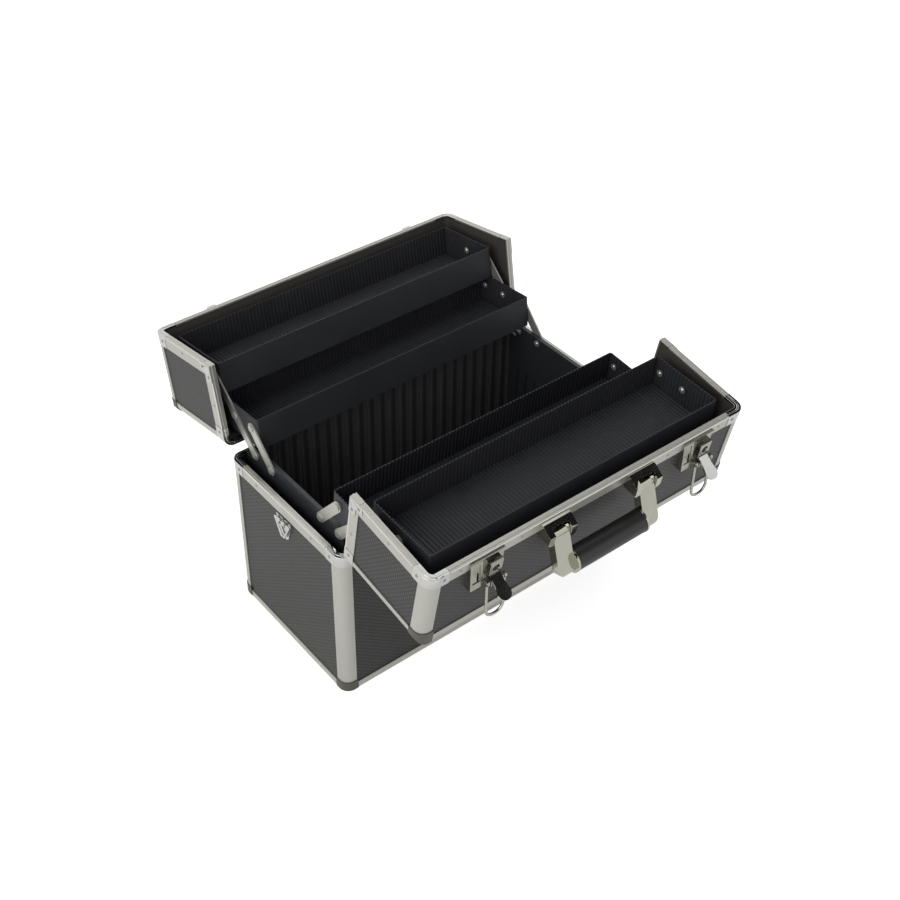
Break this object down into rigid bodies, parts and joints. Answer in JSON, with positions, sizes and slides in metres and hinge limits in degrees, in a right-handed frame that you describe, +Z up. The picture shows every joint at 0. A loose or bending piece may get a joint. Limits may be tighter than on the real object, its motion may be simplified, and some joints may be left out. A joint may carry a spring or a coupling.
{
  "type": "tool case",
  "caption": "Open tool case with an aluminium frame, black panels, side-hinged lids, cantilever trays on steel links, draw latches and a carrying handle.",
  "frame": {"origin": "middle of the underside of the floor board; the feet stand 2.2 mm lower", "axes": "+X along the case's length, +Y to the rear lid, +Z up; the handle and the latches are on the front lid, towards -Y"},
  "size_m": [0.4606, 0.5757, 0.3354],
  "materials": {
    "rivet_steel": "bright domed rivets",
    "black_skin": "fine diamond texture, low sheen",
    "base_board": "plain black skin",
    "lining": "smooth dark warm grey",
    "frame_aluminium": "satin anodised",
    "cap_plastic": "dark grey moulded",
    "corner_chrome": "polished",
    "liner_plastic": "moulded black",
    "tray_plastic": "semi-gloss black",
    "link_steel": "satin zinc plated",
    "hinge_steel": "zinc plated",
    "grip": "semi-gloss black",
    "handle_chrome": "satin chrome",
    "fitting_chrome": "polished"
  },
  "bodies": {
    "base": {"end_panels": "black_skin", "long_panels": "black_skin", "bottom_panel": "base_board", "corner_extrusions": "frame_aluminium", "bottom_trims": "frame_aluminium", "corner_caps": "cap_plastic", "rim_profile": "frame_aluminium", "rim_corners": "corner_chrome", "rim_rivets": "rivet_steel", "liner": "liner_plastic", "carrier_plates": "liner_plastic", "strap_plates": "fitting_chrome", "base_hinge_leaves": "hinge_steel", "hinge_pins": "hinge_steel"},
    "rear_lid": {"rear_lid_long_panel": "black_skin", "rear_lid_top_panel": "black_skin", "rear_lid_end_panels": "black_skin", "rear_lid_lining": "lining", "rear_lid_extrusions": "frame_aluminium", "rear_lid_trim": "frame_aluminium", "rear_lid_caps": "cap_plastic", "rear_lid_rim": "frame_aluminium", "rear_lid_corners": "corner_chrome", "rear_lid_rivets": "rivet_steel", "rear_lid_hinge_leaves": "hinge_steel", "catch_plates": "fitting_chrome"},
    "front_lid": {"front_lid_long_panel": "black_skin", "front_lid_top_panel": "black_skin", "front_lid_end_panels": "black_skin", "front_lid_lining": "lining", "front_lid_extrusions": "frame_aluminium", "front_lid_trim": "frame_aluminium", "front_lid_caps": "cap_plastic", "front_lid_rim": "frame_aluminium", "front_lid_corners": "corner_chrome", "front_lid_rivets": "rivet_steel", "front_lid_hinge_leaves": "hinge_steel", "latch_plates": "fitting_chrome", "handle_brackets": "handle_chrome"},
    "left_lever": {"left_latch_lever": "fitting_chrome"},
    "right_lever": {"right_latch_lever": "fitting_chrome"},
    "left_bail": {"left_latch_bail": "fitting_chrome"},
    "right_bail": {"right_latch_bail": "fitting_chrome"},
    "handle": {"handle_arms": "handle_chrome", "handle_grip": "grip"},
    "left_ring": {"left_strap_ring": "fitting_chrome"},
    "right_ring": {"right_strap_ring": "fitting_chrome"},
    "rear_lower_tray": {"rear_lower_tray": "tray_plastic"},
    "rear_upper_tray": {"rear_upper_tray": "tray_plastic"},
    "rear_long_link": {"rear_long_links": "link_steel"},
    "rear_short_link": {"rear_short_links": "link_steel"},
    "rear_upper_link": {"rear_upper_links": "link_steel"},
    "front_lower_tray": {"front_lower_tray": "tray_plastic"},
    "front_upper_tray": {"front_upper_tray": "tray_plastic"},
    "front_long_link": {"front_long_links": "link_steel"},
    "front_short_link": {"front_short_links": "link_steel"},
    "front_upper_link": {"front_upper_links": "link_steel"}
  },
  "joints": [
    {"name": "rear_lid_hinge", "type": "hinge", "parent": "base", "child": "rear_lid", "pos_m": [0, 0.117, 0.21875], "axis": [1, 0, 0], "range_deg": [0, 100]},
    {"name": "rear_long_link_pivot", "type": "hinge", "parent": "base", "child": "rear_long_link", "pos_m": [0, 0.0843, 0.2277], "axis": [1, 0, 0], "range_deg": [0, 87.3]},
    {"name": "rear_lower_tray_pivot", "type": "hinge", "parent": "rear_long_link", "child": "rear_lower_tray", "pos_m": [0, 0.12301, 0.26317], "axis": [1, 0, 0], "range_deg": [-81.8, 0]},
    {"name": "rear_upper_tray_pivot", "type": "hinge", "parent": "rear_long_link", "child": "rear_upper_tray", "pos_m": [0, 0.16171, 0.29864], "axis": [1, 0, 0], "range_deg": [-78.8, 0]},
    {"name": "rear_short_link_pivot", "type": "hinge", "parent": "base", "child": "rear_short_link", "pos_m": [0, 0.04969, 0.2277], "axis": [1, 0, 0], "range_deg": [0, 84.85]},
    {"name": "rear_upper_link_pivot", "type": "hinge", "parent": "rear_lower_tray", "child": "rear_upper_link", "pos_m": [0, 0.15826, 0.25977], "axis": [1, 0, 0], "range_deg": [0, 83.14]},
    {"name": "front_lid_hinge", "type": "hinge", "parent": "base", "child": "front_lid", "pos_m": [0, -0.117, 0.21875], "axis": [-1, 0, 0], "range_deg": [0, 100]},
    {"name": "front_long_link_pivot", "type": "hinge", "parent": "base", "child": "front_long_link", "pos_m": [0, -0.0843, 0.2277], "axis": [-1, 0, 0], "range_deg": [0, 84.2]},
    {"name": "front_lower_tray_pivot", "type": "hinge", "parent": "front_long_link", "child": "front_lower_tray", "pos_m": [0, -0.12103, 0.26521], "axis": [-1, 0, 0], "range_deg": [-78.9, 0]},
    {"name": "front_upper_tray_pivot", "type": "hinge", "parent": "front_long_link", "child": "front_upper_tray", "pos_m": [0, -0.15776, 0.30272], "axis": [-1, 0, 0], "range_deg": [-80.8, 0]},
    {"name": "front_short_link_pivot", "type": "hinge", "parent": "base", "child": "front_short_link", "pos_m": [0, -0.04976, 0.2277], "axis": [-1, 0, 0], "range_deg": [0, 81.91]},
    {"name": "front_upper_link_pivot", "type": "hinge", "parent": "front_lower_tray", "child": "front_upper_link", "pos_m": [0, -0.15811, 0.26177], "axis": [-1, 0, 0], "range_deg": [0, 78.05]},
    {"name": "left_lever_pivot", "type": "hinge", "parent": "front_lid", "child": "left_lever", "pos_m": [-0.143, -0.27305, 0.27018], "axis": [-1, 0, 0], "range_deg": [-64, 84]},
    {"name": "right_lever_pivot", "type": "hinge", "parent": "front_lid", "child": "right_lever", "pos_m": [0.159, -0.27305, 0.27018], "axis": [-1, 0, 0], "range_deg": [-64, 84]},
    {"name": "left_bail_pivot", "type": "hinge", "parent": "front_lid", "child": "left_bail", "pos_m": [-0.143, -0.27305, 0.27018], "axis": [-1, 0, 0], "range_deg": [-18, 160]},
    {"name": "right_bail_pivot", "type": "hinge", "parent": "front_lid", "child": "right_bail", "pos_m": [0.159, -0.27305, 0.27018], "axis": [-1, 0, 0], "range_deg": [-18, 160]},
    {"name": "handle_pivot", "type": "hinge", "parent": "front_lid", "child": "handle", "pos_m": [0, -0.27482, 0.2917], "axis": [-1, 0, 0], "range_deg": [0, 80]},
    {"name": "left_ring_pivot", "type": "hinge", "parent": "base", "child": "left_ring", "pos_m": [-0.2275, 0, 0.195], "axis": [0, 1, 0], "range_deg": [0, 100]},
    {"name": "right_ring_pivot", "type": "hinge", "parent": "base", "child": "right_ring", "pos_m": [0.2275, 0, 0.195], "axis": [0, -1, 0], "range_deg": [0, 100]}
  ],
  "couplings": [
    {"joint": "rear_long_link_pivot", "follows": "rear_lid_hinge", "ratio": 0.873},
    {"joint": "rear_lower_tray_pivot", "follows": "rear_lid_hinge", "ratio": -0.818},
    {"joint": "rear_upper_tray_pivot", "follows": "rear_lid_hinge", "ratio": -0.788},
    {"joint": "rear_short_link_pivot", "follows": "rear_lid_hinge", "ratio": 0.84854},
    {"joint": "rear_upper_link_pivot", "follows": "rear_lid_hinge", "ratio": 0.83143},
    {"joint": "front_long_link_pivot", "follows": "front_lid_hinge", "ratio": 0.842},
    {"joint": "front_lower_tray_pivot", "follows": "front_lid_hinge", "ratio": -0.789},
    {"joint": "front_upper_tray_pivot", "follows": "front_lid_hinge", "ratio": -0.808},
    {"joint": "front_short_link_pivot", "follows": "front_lid_hinge", "ratio": 0.81915},
    {"joint": "front_upper_link_pivot", "follows": "front_lid_hinge", "ratio": 0.78051}
  ]
}
